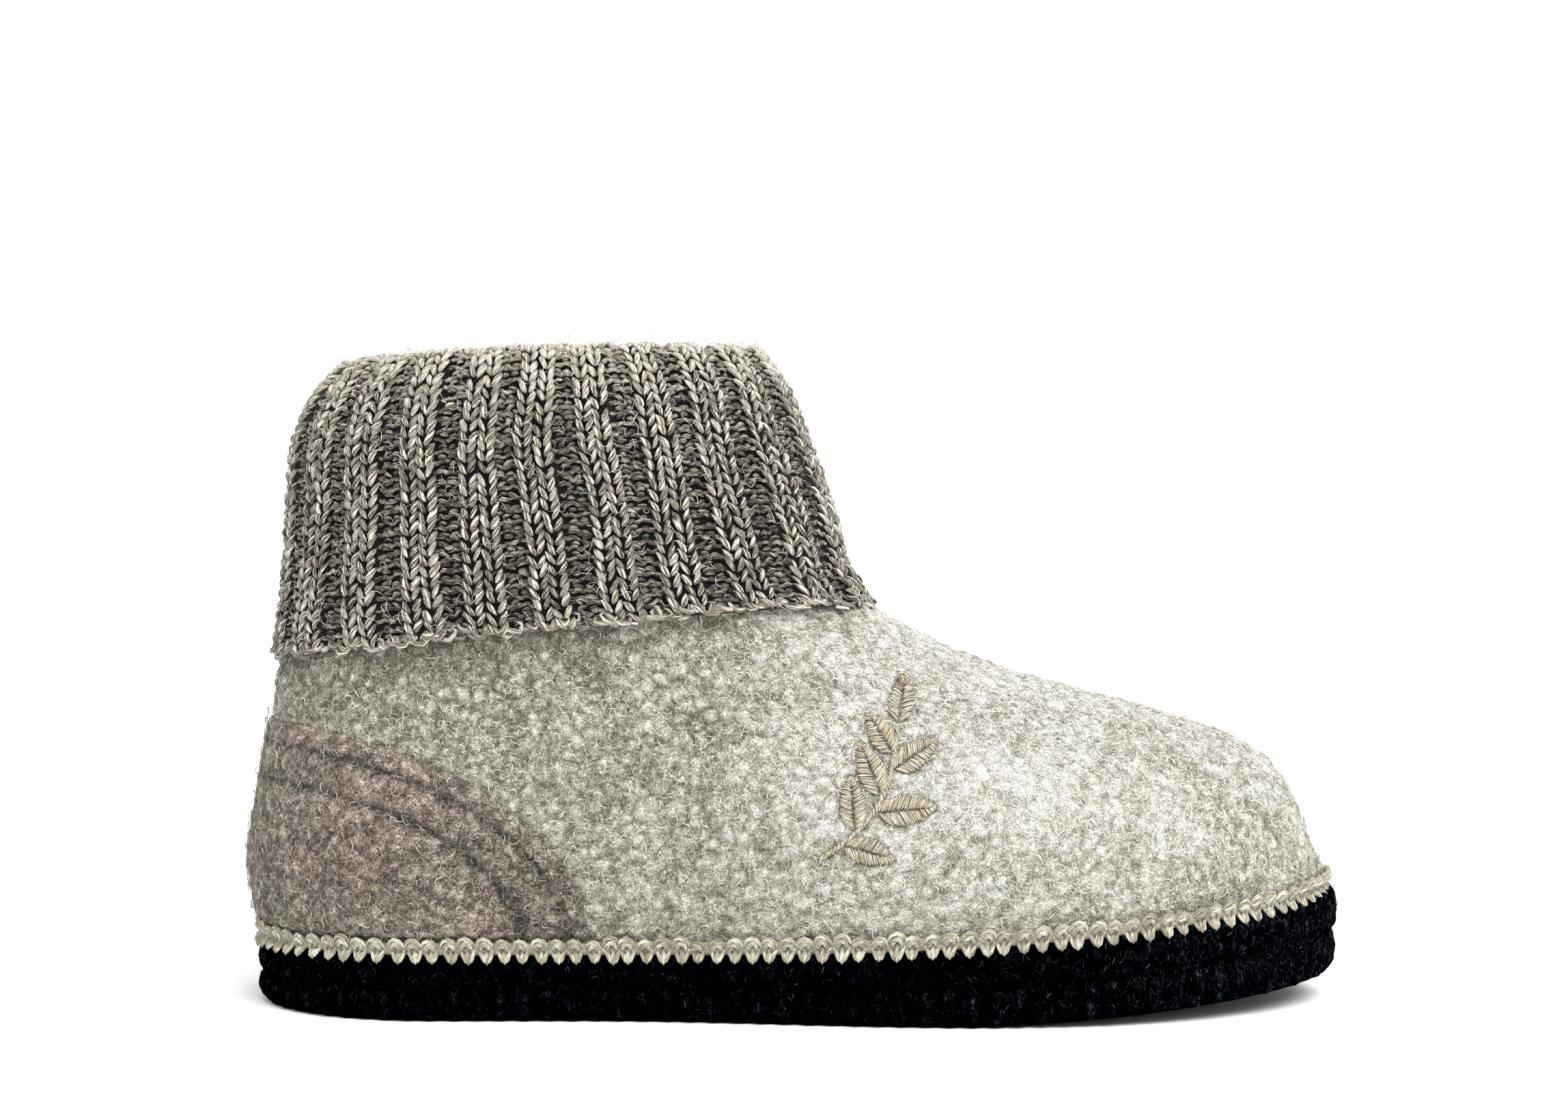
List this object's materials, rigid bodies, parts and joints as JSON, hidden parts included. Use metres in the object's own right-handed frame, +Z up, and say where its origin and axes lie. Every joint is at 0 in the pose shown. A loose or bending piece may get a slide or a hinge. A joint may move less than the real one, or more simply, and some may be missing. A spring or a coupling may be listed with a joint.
{
  "type": "slipper boot",
  "caption": "Ankle-high boiled wool slipper boot with a folded rib-knit cuff, a heel counter, a beige yarn edge seam and a dark two-layer felt sole.",
  "frame": {"origin": "on the floor, below the middle of the boot's length and width", "axes": "+X from heel to toe, +Y to the inner (big toe) side of this right boot, +Z up"},
  "size_m": [0.2619, 0.0999, 0.1572],
  "materials": {
    "wool_upper": "mottled pale grey boiled wool with curly nubs",
    "wool_counter": "mottled brown-grey boiled wool",
    "rib_knit": "two by two rib knit of mottled grey-brown wool yarn",
    "seam_yarn": "thick beige wool yarn",
    "sole_felt": "black felted wool",
    "sole_knit": "black ribbed felted knit",
    "insole_felt": "natural wool felt"
  },
  "bodies": {
    "root": {"outsole": "sole_knit", "midsole": "sole_felt", "insole": "insole_felt", "upper": "wool_upper", "heel_counter": "wool_counter", "edge_seam": "seam_yarn", "cuff": "rib_knit"}
  },
  "joints": []
}
